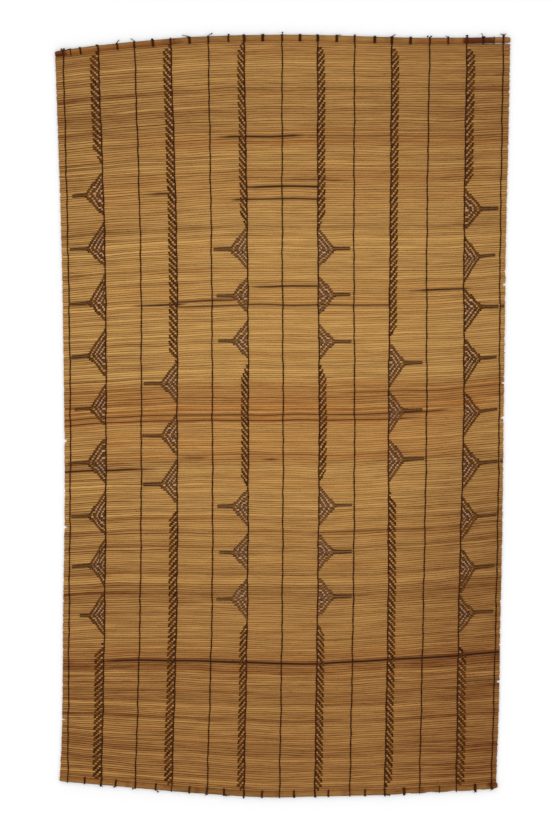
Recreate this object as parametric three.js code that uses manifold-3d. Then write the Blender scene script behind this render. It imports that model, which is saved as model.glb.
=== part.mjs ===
// A sleeping mat of thin dried stems laid side by side and sewn together with thirteen dark cords.
// Six of the cords carry a band of dark strands: strips of twill, and triangles whose tips run out in bars.
// A split cane is lashed along each end of the mat, by the cords and by short ties between them.
// Millimetres. X runs along the stems, Y along the mat, Z up from the surface that the mat lies on.
import * as THREE from "three";
import { mergeVertices } from "three/addons/utils/BufferGeometryUtils.js";
import Module from "manifold-3d";

const wasm = await Module();
wasm.setup();

// Driving dimensions
const STEM_DEPTH = 4;
const CANE_WIDTH = 15;
const CANE_RISE = 7;
const CORD_WIDTH = 3.4;
const CORD_RISE = 1.2;
const TIE_WIDTH = 4.4;
const TIE_WALL = 1.2;
const TIE_STUB = 5;
const BAND_TAPER = 28;
const BAR_WIDTH = 9.4;
const GAP = 0.3;

// The canes lie a tie's wall above the surface, and a tie fits between each cane and the field.
const CANE_BASE = TIE_WALL + GAP;
const TIE_SLOT = TIE_WALL + 3 * GAP;
const CORD_BASE = STEM_DEPTH + GAP;
// From a cane's middle line to the middle of a tie's wall, where cords and stubs join it.
const JOIN = CANE_WIDTH / 2 + 0.4;

// How finely curves are cut
const LOOP_STEPS = 8;
const CANE_STEPS = 40;
const EDGE_STEPS = 16;
const CORD_STEPS = 12;

// Tables of [station, value] that the mat's curved outline passes through.
const TOP_CANE = [
  [-545, 867.3],
  [-445, 881],
  [-318, 893.5],
  [-186, 903],
  [0, 907.1],
  [172, 904],
  [330, 899.7],
  [546, 901.4],
];
const BOTTOM_CANE = [
  [-534, -868.5],
  [-436, -877],
  [-318, -887.7],
  [-186, -898.5],
  [-40, -907.1],
  [76, -905],
  [246, -901.4],
  [376, -894.5],
  [460, -890.5],
  [515, -885.3],
];
const LEFT_EDGE = [
  [-876, -534],
  [-730, -528],
  [-490, -526],
  [-202, -522],
  [-10, -523],
  [254, -526.5],
  [473, -531.5],
  [758, -541],
  [876, -546],
];
const RIGHT_EDGE = [
  [-874, 512],
  [-682, 519],
  [-490, 522],
  [-298, 526.5],
  [-10, 530],
  [473, 536.5],
  [638, 541],
  [908, 546],
];

// Where each cord stands across the mat, at five stations along it.
const CORD_STATIONS = [-898, -442, -10, 398, 902];
const PLAIN_CORDS = [
  [-515, -511.2, -508.3, -514.3, -526.3],
  [-353, -341, -338.4, -340.3, -355.2],
  [-180.7, -168.7, -168, -170.4, -178],
  [-7, -0.5, 1.7, -0.5, -1],
  [161.3, 169.7, 172.8, 171.1, 173],
  [328.3, 337.9, 345.4, 345.8, 353],
  [500.4, 512.4, 519.6, 521.8, 529.7],
];

// The patterned cords. side is -1 where the band lies left of its cord and 1 where it lies right.
// A strip of twill runs from top to bottom and is as wide as given. A motif is a triangle at a height:
// its tip and its bar reach as far from the cord as given, and it runs so far up and down.
const PATTERNED_CORDS = [
  {
    x: [-434.4, -426, -422.9, -425.8, -442.8],
    side: -1,
    width: 21.6,
    strips: [
      { top: 866, bottom: 612 },
      { top: -540, bottom: -864 },
    ],
    motifs: [
      { at: 529, tip: 40, bar: 74, up: 58, down: 53 },
      { at: 400, tip: 39, bar: 89, up: 65, down: 48 },
      { at: 275, tip: 38, bar: 89, up: 64, down: 49 },
      { at: 148, tip: 40, bar: 87, up: 58, down: 51 },
      { at: 20, tip: 36, bar: 75, up: 58, down: 48 },
      { at: -110, tip: 42, bar: 89, up: 58, down: 55 },
      { at: -235, tip: 37, bar: 83, up: 58, down: 56 },
      { at: -358.5, tip: 36, bar: 79, up: 59, down: 45 },
      { at: -477, tip: 36, bar: 59, up: 55, down: 47 },
    ],
  },
  {
    x: [-265.7, -253.4, -252.5, -253.7, -268.3],
    side: -1,
    width: 20.2,
    strips: [
      { top: 884, bottom: 137 },
      { top: -221, bottom: -878 },
    ],
    motifs: [
      { at: 78, tip: 37, bar: 81, up: 51, down: 46 },
      { at: -44, tip: 36, bar: 86, up: 50, down: 46 },
      { at: -163.5, tip: 37, bar: 82, up: 55, down: 48 },
    ],
  },
  {
    x: [-92.4, -84.2, -82, -84, -92.4],
    side: -1,
    width: 17.8,
    strips: [
      { top: 893, bottom: 463 },
      { top: 128, bottom: -161 },
      { top: -490, bottom: -890 },
    ],
    motifs: [
      { at: 399.5, tip: 38, bar: 82, up: 49, down: 47 },
      { at: 288.5, tip: 34, bar: 76, up: 45, down: 40 },
      { at: 177, tip: 35, bar: 72, up: 48, down: 42 },
      { at: -217, tip: 35, bar: 74.5, up: 44, down: 47 },
      { at: -329, tip: 34, bar: 69, up: 45, down: 42 },
      { at: -436.5, tip: 36, bar: 74, up: 49, down: 45 },
    ],
  },
  {
    x: [77.5, 84.2, 88.3, 85.2, 84.2],
    side: 1,
    width: 18.4,
    strips: [
      { top: 889, bottom: 458 },
      { top: 128, bottom: -154 },
      { top: -497, bottom: -890 },
    ],
    motifs: [
      { at: 399.5, tip: 36, bar: 77, up: 47, down: 46 },
      { at: 291.5, tip: 36, bar: 76, up: 46, down: 47 },
      { at: 177, tip: 35, bar: 78, up: 42, down: 40 },
      { at: -213.5, tip: 37, bar: 79.5, up: 47, down: 47 },
      { at: -323, tip: 35, bar: 80, up: 41, down: 44 },
      { at: -434.5, tip: 36, bar: 81, up: 44, down: 49 },
    ],
  },
  {
    x: [245, 253.4, 254.2, 258, 262.3],
    side: 1,
    width: 18.6,
    strips: [
      { top: 885, bottom: 194 },
      { top: -180, bottom: -884 },
    ],
    motifs: [
      { at: 128, tip: 37, bar: 80.5, up: 48, down: 54 },
      { at: 13, tip: 35, bar: 81.5, up: 46, down: 54 },
      { at: -107, tip: 36, bar: 85, up: 51, down: 54 },
    ],
  },
  {
    x: [416.6, 423.1, 434.4, 435.1, 442.3],
    side: 1,
    width: 20.2,
    strips: [
      { top: 883, bottom: 557 },
      { top: -547, bottom: -876 },
    ],
    motifs: [
      { at: 498.5, tip: 38, bar: 80.5, up: 49, down: 50 },
      { at: 379.5, tip: 36, bar: 75.5, up: 44, down: 55 },
      { at: 257.5, tip: 40, bar: 97, up: 47, down: 59 },
      { at: 137.5, tip: 39, bar: 78, up: 43, down: 56 },
      { at: 9.5, tip: 37, bar: 79.5, up: 47, down: 53 },
      { at: -118, tip: 40, bar: 97, up: 46, down: 56 },
      { at: -244, tip: 37, bar: 87, up: 46, down: 53 },
      { at: -363.5, tip: 35, bar: 83, up: 48, down: 54 },
      { at: -476.5, tip: 35, bar: 83.5, up: 43, down: 48 },
    ],
  },
];

// Where the short ties stand between the cords.
const TOP_TIES = [
  -507.5, -484.5, -396, -311, -223, -129.5, -47, 42, 130, 221, 307, 397, 481, 507,
];
const BOTTOM_TIES = [-474, -399.5, -303.5, -223, -140.5, -49, 27.5, 110, 198, 291.5, 376, 461.5];

const finish = (name, color, roughness) =>
  new THREE.MeshStandardMaterial({ name, color, roughness, metalness: 0 });
const stemFinish = finish("dried stems", 0xb98a4e, 0.6);
const caneFinish = finish("split cane", 0xa9713c, 0.5);
const cordFinish = finish("dark cord", 0x3a2414, 0.8);

// A smooth curve through a table of [station, value], as a function of the station.
function through(table) {
  const last = table.length - 1;
  const slope = table.map((row, i) => {
    const before = table[Math.max(i - 1, 0)];
    const after = table[Math.min(i + 1, last)];
    return (after[1] - before[1]) / (after[0] - before[0]);
  });
  return (station) => {
    let i = 0;
    while (i < last - 1 && station > table[i + 1][0]) i++;
    const [start, from] = table[i];
    const [end, to] = table[i + 1];
    const span = end - start;
    const t = (station - start) / span;
    const bend = (1 - t) * slope[i] - t * slope[i + 1];
    const twist = ((1 - 2 * t) * (to - from)) / span;
    return from + t * (to - from) + t * (1 - t) * span * (bend - twist);
  };
}

const topCane = through(TOP_CANE);
const bottomCane = through(BOTTOM_CANE);
const leftEdge = through(LEFT_EDGE);
const rightEdge = through(RIGHT_EDGE);
const cordLine = (x) => through(CORD_STATIONS.map((station, i) => [station, x[i]]));

// The turn that a cane has about Z at a place across the mat.
function turnOf(cane, x) {
  const step = 1;
  return Math.atan2(cane(x + step) - cane(x - step), 2 * step);
}

// Points spaced evenly from one value to another, both ends included.
function spaced(from, to, steps) {
  return Array.from({ length: steps + 1 }, (_, i) => from + ((to - from) * i) / steps);
}

// A flat plate with the given outline, from its base up.
function plate(outline, base, rise) {
  const shape = new THREE.Shape(outline);
  const geometry = new THREE.ExtrudeGeometry(shape, { depth: rise, bevelEnabled: false });
  return geometry.translate(0, 0, base);
}

// A cane's section, or one that is larger all round: flat below, and rounder than square above.
function caneSection(grow) {
  const half = CANE_WIDTH / 2 + grow;
  const base = CANE_BASE - grow;
  const rise = CANE_RISE + 2 * grow;
  const squareness = 0.7;
  return spaced(0, Math.PI, LOOP_STEPS).map((angle) => {
    const along = Math.cos(angle);
    const across = Math.sign(along) * Math.abs(along) ** squareness;
    return new THREE.Vector2(half * across, base + rise * Math.max(Math.sin(angle), 0) ** squareness);
  });
}

// The field of stems: one flat sheet with the mat's outline.
function fieldGeometry() {
  const top = (x) => topCane(x) - CANE_WIDTH / 2 - TIE_SLOT;
  const bottom = (x) => bottomCane(x) + CANE_WIDTH / 2 + TIE_SLOT;
  const cornerX = (edge, end) => edge(end(edge(0)));
  const along = (end, fromX, toX) =>
    spaced(fromX, toX, EDGE_STEPS).map((x) => new THREE.Vector2(x, end(x)));
  const beside = (edge, fromY, toY) =>
    spaced(fromY, toY, EDGE_STEPS).map((y) => new THREE.Vector2(edge(y), y));
  const lower = along(bottom, cornerX(leftEdge, bottom), cornerX(rightEdge, bottom));
  const upper = along(top, cornerX(rightEdge, top), cornerX(leftEdge, top));
  const right = beside(rightEdge, lower.at(-1).y, upper[0].y).slice(1, -1);
  const left = beside(leftEdge, upper.at(-1).y, lower[0].y).slice(1, -1);
  return plate([...lower, ...right, ...upper, ...left], 0, STEM_DEPTH);
}

// A split cane: its section carried along its curved middle line, square to it.
function caneGeometry(cane, fromX, toX) {
  const section = caneSection(0);
  const stations = spaced(fromX, toX, CANE_STEPS);
  const positions = stations.flatMap((x) => {
    const turn = turnOf(cane, x);
    return section.flatMap((p) => [x - p.x * Math.sin(turn), cane(x) + p.x * Math.cos(turn), p.y]);
  });
  const count = section.length;
  const faces = [];
  for (let i = 0; i < CANE_STEPS; i++) {
    for (let j = 0; j < count; j++) {
      const a = i * count + j;
      const b = i * count + ((j + 1) % count);
      faces.push(a, b, a + count, b, b + count, a + count);
    }
  }
  const lastRing = CANE_STEPS * count;
  for (let j = 1; j < count - 1; j++) {
    faces.push(0, j + 1, j);
    faces.push(lastRing, lastRing + j, lastRing + j + 1);
  }
  const geometry = new THREE.BufferGeometry();
  geometry.setAttribute("position", new THREE.Float32BufferAttribute(positions, 3));
  return geometry.setIndex(faces);
}

// A tie: a closed hoop round a cane, with a stub that reaches in over the first stems.
function tiePieces(cane, x, inward) {
  const shape = new THREE.Shape(caneSection(GAP + TIE_WALL));
  shape.holes.push(new THREE.Path(caneSection(GAP)));
  const hoop = new THREE.ExtrudeGeometry(shape, { depth: TIE_WIDTH, bevelEnabled: false });
  hoop.translate(0, 0, -TIE_WIDTH / 2);
  const acrossUpAlong = new THREE.Matrix4().makeBasis(
    new THREE.Vector3(0, 1, 0),
    new THREE.Vector3(0, 0, 1),
    new THREE.Vector3(1, 0, 0),
  );
  hoop.applyMatrix4(acrossUpAlong);
  const reach = TIE_SLOT + TIE_STUB;
  const stub = new THREE.BoxGeometry(TIE_WIDTH, reach, CORD_RISE);
  stub.translate(0, inward * (JOIN + reach / 2), CORD_BASE + CORD_RISE / 2);
  const place = new THREE.Matrix4().makeRotationZ(turnOf(cane, x)).setPosition(x, cane(x), 0);
  return [hoop, stub].map((geometry) => geometry.applyMatrix4(place));
}

// The outline of a cord's strip: straight sides for a plain cord, and the pattern on one side of the rest.
function cordOutline(line, pattern) {
  const half = CORD_WIDTH / 2;
  const ends = [bottomCane, topCane].map((cane) => cane(line(cane(0))));
  const low = ends[0] + JOIN;
  const high = ends[1] - JOIN;
  const side = pattern ? pattern.side : 1;
  const at = (y, offset) => new THREE.Vector2(line(y) + side * offset, y);
  const plainSide = spaced(low, high, CORD_STEPS).map((y) => at(y, -half));
  const patternSide = pattern
    ? patternProfile(pattern, half, line).map(([y, offset]) => at(y, offset))
    : spaced(high, low, CORD_STEPS).slice(1, -1).map((y) => at(y, half));
  return [...plainSide, at(high, half), ...patternSide, at(low, half)];
}

// The pattern's free side from the top down, as [height, distance from the cord's middle line].
function patternProfile({ side, width, strips, motifs }, cordHalf, line) {
  const strip = ({ top, bottom }) => [
    [top, cordHalf],
    ...spaced(top - BAND_TAPER, bottom + BAND_TAPER, CORD_STEPS / 2).map((y) => [y, width]),
    [bottom, cordHalf],
  ];
  const motif = ({ at, tip, bar, up, down }) => {
    const barHalf = BAR_WIDTH / 2;
    const length = Math.min(bar, roomBeside(line, side, at));
    return [
      [at + up, cordHalf],
      [at + barHalf, tip],
      [at + barHalf, length],
      [at - barHalf, length],
      [at - barHalf, tip],
      [at - down, cordHalf],
    ];
  };
  const runs = [...strips.map(strip), ...motifs.map(motif)];
  return runs.sort((a, b) => b[0][0] - a[0][0]).flat();
}

// How far a bar can reach from its cord before it meets the next plain cord.
function roomBeside(line, side, y) {
  const clear = CORD_WIDTH / 2 + 1;
  const distances = PLAIN_CORDS.map((x) => side * (cordLine(x)(y) - line(y)));
  return Math.min(...distances.filter((d) => d > 0)) - clear;
}

// Joins closed pieces into one body.
function joined(pieces) {
  const solids = pieces.map((piece) => {
    const bare = piece.clone();
    for (const name of Object.keys(bare.attributes)) {
      if (name !== "position") bare.deleteAttribute(name);
    }
    const merged = mergeVertices(bare, 1e-3);
    const vertProperties = merged.attributes.position.array;
    const triVerts = new Uint32Array(merged.index.array);
    return new wasm.Manifold(new wasm.Mesh({ numProp: 3, vertProperties, triVerts }));
  });
  const whole = solids.reduce((sum, next) => sum.add(next)).getMesh();
  const geometry = new THREE.BufferGeometry();
  geometry.setAttribute("position", new THREE.BufferAttribute(whole.vertProperties, whole.numProp));
  return geometry.setIndex(new THREE.BufferAttribute(whole.triVerts, 1));
}

// A cord: its strip over the stems, and the lashing round a cane at each end.
function cordGeometry(x, pattern) {
  const line = cordLine(x);
  const strip = plate(cordOutline(line, pattern), CORD_BASE, CORD_RISE);
  const [topX, bottomX] = [topCane, bottomCane].map((cane) => line(cane(line(0))));
  return joined([
    strip,
    ...tiePieces(topCane, topX, -1),
    ...tiePieces(bottomCane, bottomX, 1),
  ]);
}

const mat = new THREE.Group();

function addPiece(name, geometry, material) {
  const mesh = new THREE.Mesh(geometry, material.clone());
  mesh.name = name;
  mat.add(mesh);
}

addPiece("reed_field", fieldGeometry(), stemFinish);
addPiece("top_cane", caneGeometry(topCane, TOP_CANE[0][0], TOP_CANE.at(-1)[0]), caneFinish);
addPiece("bottom_cane", caneGeometry(bottomCane, BOTTOM_CANE[0][0], BOTTOM_CANE.at(-1)[0]), caneFinish);
PLAIN_CORDS.forEach((x, i) => addPiece(`sewing_cord_${i + 1}`, cordGeometry(x), cordFinish));
PATTERNED_CORDS.forEach((cord, i) =>
  addPiece(`patterned_cord_${i + 1}`, cordGeometry(cord.x, cord), cordFinish),
);
TOP_TIES.forEach((x, i) => addPiece(`top_tie_${i + 1}`, joined(tiePieces(topCane, x, -1)), cordFinish));
BOTTOM_TIES.forEach((x, i) =>
  addPiece(`bottom_tie_${i + 1}`, joined(tiePieces(bottomCane, x, 1)), cordFinish),
);

export default mat;
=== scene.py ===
# %% [markdown]
# # A sleeping mat of sewn stems
# Some 340 dried stems lie side by side across this mat. Thirteen dark cords run down its length and
# hold them, six of the cords carry a patterned band, and a split cane closes each end. The packed
# model is the frame: the mat lies flat on the surface, X runs along the stems, Y along the mat and Z
# up. The tables below are in millimetres, as a maker would measure them, and every mesh is turned
# into metres when it is made.

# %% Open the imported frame
import math
import bpy
import numpy as np
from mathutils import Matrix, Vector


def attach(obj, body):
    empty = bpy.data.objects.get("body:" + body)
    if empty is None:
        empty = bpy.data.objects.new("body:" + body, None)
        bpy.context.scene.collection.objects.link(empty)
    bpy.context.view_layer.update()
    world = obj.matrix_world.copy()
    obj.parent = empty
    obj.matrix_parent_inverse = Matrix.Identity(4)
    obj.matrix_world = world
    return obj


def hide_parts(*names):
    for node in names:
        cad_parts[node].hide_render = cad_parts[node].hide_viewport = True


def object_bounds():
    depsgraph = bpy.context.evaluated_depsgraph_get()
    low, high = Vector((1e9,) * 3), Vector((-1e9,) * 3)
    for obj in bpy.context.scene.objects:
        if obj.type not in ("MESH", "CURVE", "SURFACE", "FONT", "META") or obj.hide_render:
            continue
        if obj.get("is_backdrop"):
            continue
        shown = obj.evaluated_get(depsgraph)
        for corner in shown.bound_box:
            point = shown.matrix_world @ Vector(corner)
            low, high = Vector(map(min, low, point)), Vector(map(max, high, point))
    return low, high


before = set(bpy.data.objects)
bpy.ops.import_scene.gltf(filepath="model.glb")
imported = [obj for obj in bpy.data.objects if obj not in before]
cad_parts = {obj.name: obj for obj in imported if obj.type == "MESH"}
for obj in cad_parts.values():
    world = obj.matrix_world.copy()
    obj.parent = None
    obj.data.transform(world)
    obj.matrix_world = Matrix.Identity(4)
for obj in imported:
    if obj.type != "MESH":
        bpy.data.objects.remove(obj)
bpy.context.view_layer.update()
MM = 0.001
chance = np.random.default_rng(41)

# %% [markdown]
# ## The mat's own curves
# Nothing on a hand-sewn mat is straight. The canes bow, the sides draw in, and each cord drifts a few
# millimetres. Each of these lines is a short table of stations with a smooth curve through them. It
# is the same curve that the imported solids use, so the fine pieces land exactly where the plain ones
# were.

# %% Smooth curves through short tables
TOP_CANE = [
    [-545, 867.3], [-445, 881], [-318, 893.5], [-186, 903], [0, 907.1], [172, 904], [330, 899.7],
    [546, 901.4],
]
BOTTOM_CANE = [
    [-534, -868.5], [-436, -877], [-318, -887.7], [-186, -898.5], [-40, -907.1], [76, -905],
    [246, -901.4], [376, -894.5], [460, -890.5], [515, -885.3],
]
LEFT_EDGE = [
    [-876, -534], [-730, -528], [-490, -526], [-202, -522], [-10, -523], [254, -526.5], [473, -531.5],
    [758, -541], [876, -546],
]
RIGHT_EDGE = [
    [-874, 512], [-682, 519], [-490, 522], [-298, 526.5], [-10, 530], [473, 536.5], [638, 541],
    [908, 546],
]


def hermite(place, start, end, low, high, low_slope, high_slope):
    """The smooth curve between two stations, from their values and slopes."""
    span = end - start
    t = (place - start) / span
    bend = (1 - t) * low_slope - t * high_slope
    twist = (1 - 2 * t) * (high - low) / span
    return low + t * (high - low) + t * (1 - t) * span * (bend - twist)


def slopes_of(stations, values):
    """The slope at each station, from its neighbours. Each value may itself be an array."""
    after, before = np.r_[1:len(stations), len(stations) - 1], np.r_[0, 0:len(stations) - 1]
    steps = (stations[after] - stations[before]).reshape((-1,) + (1,) * (values.ndim - 1))
    return (values[after] - values[before]) / steps


def through(table):
    """A smooth curve through rows of [station, value], as a function that takes arrays."""
    stations, values = np.array(table, float).T
    slopes = slopes_of(stations, values)

    def at(place):
        place = np.asarray(place, float)
        i = np.clip(np.searchsorted(stations, place) - 1, 0, len(stations) - 2)
        return hermite(place, stations[i], stations[i + 1], values[i], values[i + 1], slopes[i], slopes[i + 1])

    return at


top_cane, bottom_cane = through(TOP_CANE), through(BOTTOM_CANE)
left_edge, right_edge = through(LEFT_EDGE), through(RIGHT_EDGE)
print("mat at its middle line: %.0f mm long" % (top_cane(0) - bottom_cane(0)))

# %% [markdown]
# ## How the stems bow
# The stems follow the top cane near the top and the bottom cane near the bottom, and change slowly
# from one to the other. The table gives a few rows: where a row stands at the middle, and how far it
# rises or sinks from there at nine stations across. Any row in between is found by the same smooth
# curve, the other way.

# %% Rows of stems
CANE_WIDTH = 15
TUCKED_UNDER = 1.1  # how far the outermost stems lie under the canes
BOW_STATIONS = [-540, -400, -270, -130, 0, 130, 270, 400, 540]
BOW_ROWS = [
    [-813.6, [34, 21.5, 14, 5, 0, 1, 6, 11, 20]],
    [-585.6, [3.5, 6.5, 6.5, 4, 0, 1, 10, 18, 29]],
    [-465.6, [-1, 4.5, 4.5, 2, 0, -1, 6, 15, 27]],
    [-225.6, [-8, -0.5, 1.5, 1.5, 0, -1, 6, 13, 26]],
    [14.4, [-15, -6.5, -2, 0, 0, 0, 4.5, 11, 23]],
    [254.4, [-22, -12, -5.5, 0, 0, 0, 1.5, 4.5, 14]],
    [614.4, [-28, -17.5, -9.5, -2, 0, 0, 0, 0, 5]],
    [830.4, [-34, -19.5, -9.5, -3, 0, 0, -1, -1, 2.5]],
]
field_top = float(top_cane(0)) - (CANE_WIDTH / 2 - TUCKED_UNDER)
field_bottom = float(bottom_cane(0)) + (CANE_WIDTH / 2 - TUCKED_UNDER)
field_length = field_top - field_bottom
levels = np.array([field_bottom, *[row[0] for row in BOW_ROWS], field_top])
bows = [
    lambda x: bottom_cane(x) - bottom_cane(0),
    *[through(list(zip(BOW_STATIONS, row[1]))) for row in BOW_ROWS],
    lambda x: top_cane(x) - top_cane(0),
]


def row_height(start, x):
    """How high a row stands at x, for a row that stands at start in the mat's middle."""
    start, x = np.broadcast_arrays(np.asarray(start, float), np.asarray(x, float))
    rises = np.stack([bow(x) for bow in bows])
    i = np.clip(np.searchsorted(levels, start) - 1, 0, len(levels) - 2)
    both_rows = np.stack([i, i + 1])
    low, high = np.take_along_axis(rises, both_rows, 0)
    low_slope, high_slope = np.take_along_axis(slopes_of(levels, rises), both_rows, 0)
    return start + hermite(start, levels[i], levels[i + 1], low, high, low_slope, high_slope)


print("field of stems: %.0f mm long at the middle" % field_length)

# %% [markdown]
# ## How wide each stem is
# Stems are thinner towards the foot, and no two are alike. They could all be copies of one stem, but
# an even row looks made by a machine. So the length is divided by a pitch that changes slowly, with a
# little chance in each step, and the whole is then stretched to end at the bottom cane.

# %% Divide the length into stems
TOP_PITCH, BOTTOM_PITCH = 5.5, 4.88
PITCH_SPREAD, MOST_SPREADS = 0.15, 1.7
bounds_at_middle = [field_top]
while bounds_at_middle[-1] > field_bottom:
    share = (field_top - bounds_at_middle[-1]) / field_length
    pitch = TOP_PITCH + (BOTTOM_PITCH - TOP_PITCH) * share
    pitch *= 1 + PITCH_SPREAD * np.clip(chance.normal(), -MOST_SPREADS, MOST_SPREADS)
    bounds_at_middle.append(bounds_at_middle[-1] - pitch)
from_top = field_top - np.array(bounds_at_middle)
bounds_at_middle = field_top - from_top * field_length / from_top[-1]
stem_count = len(bounds_at_middle) - 1
print("stems:", stem_count)

# %% [markdown]
# ## The lines between the stems
# The line between two stems wanders a little. Some of its waves are its own, and some are shared by
# its neighbours, because a bent stem bends the next ones. Close to a cane the stems lie straight
# along it. At the right end of the top cane the first stem has come away by a millimetre or two.

# %% The lines between the stems
WAVES = 4
OWN_WAVE = 0.26
DRIFT = [  # waves that neighbours share: size, length along the stems, length down the mat
    [0.55, 260, 170], [0.5, 170, -110], [0.4, 118, 75], [0.7, 430, -320],
]
CALM_MARGIN = 25
OPENING = [[445, 455, 1.6], [494, 508, 2.0]]  # where the first stem comes away: from x, to x, by how much


def draw_waves(count, shortest, longest):
    """Lengths and phases, by chance, of the waves of count lines."""
    return chance.uniform(shortest, longest, (count, WAVES)), chance.uniform(0, 2 * math.pi, (count, WAVES))


def waves(x, length, phase):
    """The waves at each x, side by side on a last axis."""
    return np.sin(2 * math.pi * x[..., None] / length + phase)


def ramp(value, start, end):
    """0 up to the start, 1 from the end on, and an even change between them. It may run downwards."""
    return np.clip((value - start) / (end - start), 0, 1)


own_size = OWN_WAVE * chance.uniform(0.2, 1, (stem_count + 1, WAVES))
own_length, own_phase = draw_waves(stem_count + 1, 80, 420)


def between_stems(i, x):
    """The line between stem i - 1 and stem i at x. The stems are counted from the top."""
    i, x = np.broadcast_arrays(i, np.asarray(x, float))
    start = bounds_at_middle[i]
    wander = (own_size[i] * waves(x, own_length[i], own_phase[i])).sum(-1)
    for size, along, down in DRIFT:
        wander = wander + size * np.sin(2 * math.pi * (x / along + start / down))
    calm = ramp(np.minimum(field_top - start, start - field_bottom), 0, CALM_MARGIN)
    opening = sum(depth * ramp(x, from_x, to_x) for from_x, to_x, depth in OPENING)
    return row_height(start, x) + wander * calm - np.where(i == 0, opening, 0)


every_bound = np.arange(stem_count + 1)
print("a line wanders up to %.1f mm" % np.abs(between_stems(every_bound, 0.0) - bounds_at_middle).max())

# %% [markdown]
# ## Where the cords run
# A cord is a line down the mat that drifts a little. The same five stations serve all thirteen. One
# small function is all that the sewing needs: where a cord, or a strand beside it, meets each line
# between stems. The two depend on each other, so it takes a few rounds until both have settled.

# %% Cords
CORD_STATIONS = [-898, -442, -10, 398, 902]
PLAIN_CORDS = [
    [-515, -511.2, -508.3, -514.3, -526.3],
    [-353, -341, -338.4, -340.3, -355.2],
    [-180.7, -168.7, -168, -170.4, -178],
    [-7, -0.5, 1.7, -0.5, -1],
    [161.3, 169.7, 172.8, 171.1, 173],
    [328.3, 337.9, 345.4, 345.8, 353],
    [500.4, 512.4, 519.6, 521.8, 529.7],
]
PATTERNED_CORDS = [
    [-434.4, -426, -422.9, -425.8, -442.8],
    [-265.7, -253.4, -252.5, -253.7, -268.3],
    [-92.4, -84.2, -82, -84, -92.4],
    [77.5, 84.2, 88.3, 85.2, 84.2],
    [245, 253.4, 254.2, 258, 262.3],
    [416.6, 423.1, 434.4, 435.1, 442.3],
]
SETTLE_ROUNDS = 3
CORD_SWAY = [[0.5, 31], [0.45, 13], [0.35, 5.7]]  # size and length of each small wave
SWAY_PHASE = 7  # times a cord's own place, so that no two cords sway alike
plain_lines = [through(list(zip(CORD_STATIONS, x))) for x in PLAIN_CORDS]
patterned_lines = [through(list(zip(CORD_STATIONS, x))) for x in PATTERNED_CORDS]
lines_in_order = [line for pair in zip(plain_lines, patterned_lines) for line in pair] + [plain_lines[-1]]


def crossings(line, beside=0.0):
    """Where a strand beside a cord meets every line between stems, as points of x and y."""
    x = line(bounds_at_middle) + beside
    for _ in range(SETTLE_ROUNDS):
        y = between_stems(every_bound, x)
        x = line(y) + beside
    sway = sum(size * np.sin(y / length + line(0) * SWAY_PHASE) for size, length in CORD_SWAY)
    return np.stack([x + sway, between_stems(every_bound, x + sway)], 1)


print("cords:", len(lines_in_order), "crossings of the first:", len(crossings(lines_in_order[0])))

# %% [markdown]
# ## What each band holds
# A band is a strip of twill, then a row of triangles, then twill again. The table names, for each
# patterned cord, the side its band lies on, how far the twill reaches, where each strip starts and
# ends, and for each triangle its place on the cord, how far its tip and its bar reach, and how far it
# runs up and down.

# %% Bands
BANDS = [
    {"side": -1, "twill": 21.6, "strips": [[880, 612], [-540, -884]], "motifs": [
        [529, 40, 74, 58, 53], [400, 39, 89, 65, 48], [275, 38, 89, 64, 49], [148, 40, 87, 58, 51],
        [20, 36, 75, 58, 48], [-110, 42, 89, 58, 55], [-235, 37, 83, 58, 56], [-358.5, 36, 79, 59, 45],
        [-477, 36, 59, 55, 47],
    ]},
    {"side": -1, "twill": 20.2, "strips": [[898, 137], [-221, -884]], "motifs": [
        [78, 37, 81, 51, 46], [-44, 36, 86, 50, 46], [-163.5, 37, 82, 55, 48],
    ]},
    {"side": -1, "twill": 17.8, "strips": [[896, 463], [128, -161], [-490, -896]], "motifs": [
        [399.5, 38, 82, 49, 47], [288.5, 34, 76, 45, 40], [177, 35, 72, 48, 42],
        [-217, 35, 74.5, 44, 47], [-329, 34, 69, 45, 42], [-436.5, 36, 74, 49, 45],
    ]},
    {"side": 1, "twill": 18.4, "strips": [[892, 458], [128, -154], [-497, -898]], "motifs": [
        [399.5, 36, 77, 47, 46], [291.5, 36, 76, 46, 47], [177, 35, 78, 42, 40],
        [-213.5, 37, 79.5, 47, 47], [-323, 35, 80, 41, 44], [-434.5, 36, 81, 44, 49],
    ]},
    {"side": 1, "twill": 18.6, "strips": [[890, 194], [-180, -884]], "motifs": [
        [128, 37, 80.5, 48, 54], [13, 35, 81.5, 46, 54], [-107, 36, 85, 51, 54],
    ]},
    {"side": 1, "twill": 20.2, "strips": [[888, 557], [-547, -884]], "motifs": [
        [498.5, 38, 80.5, 49, 50], [379.5, 36, 75.5, 44, 55], [257.5, 40, 97, 47, 59],
        [137.5, 39, 78, 43, 56], [9.5, 37, 79.5, 47, 53], [-118, 40, 97, 46, 56],
        [-244, 37, 87, 46, 53], [-363.5, 35, 83, 48, 54], [-476.5, 35, 83.5, 43, 48],
    ]},
]
print("triangles:", sum(len(band["motifs"]) for band in BANDS))

# %% [markdown]
# ## Making meshes from arrays
# The mat has thousands of stitches, far too many to place by hand. Each kind of stitch is worked out
# once, for all its copies at the same time, as arrays of points and faces, and the arrays become one
# joined mesh. Values that the materials need, such as a stem's own tone, ride along as named
# attributes on the points.

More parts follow.
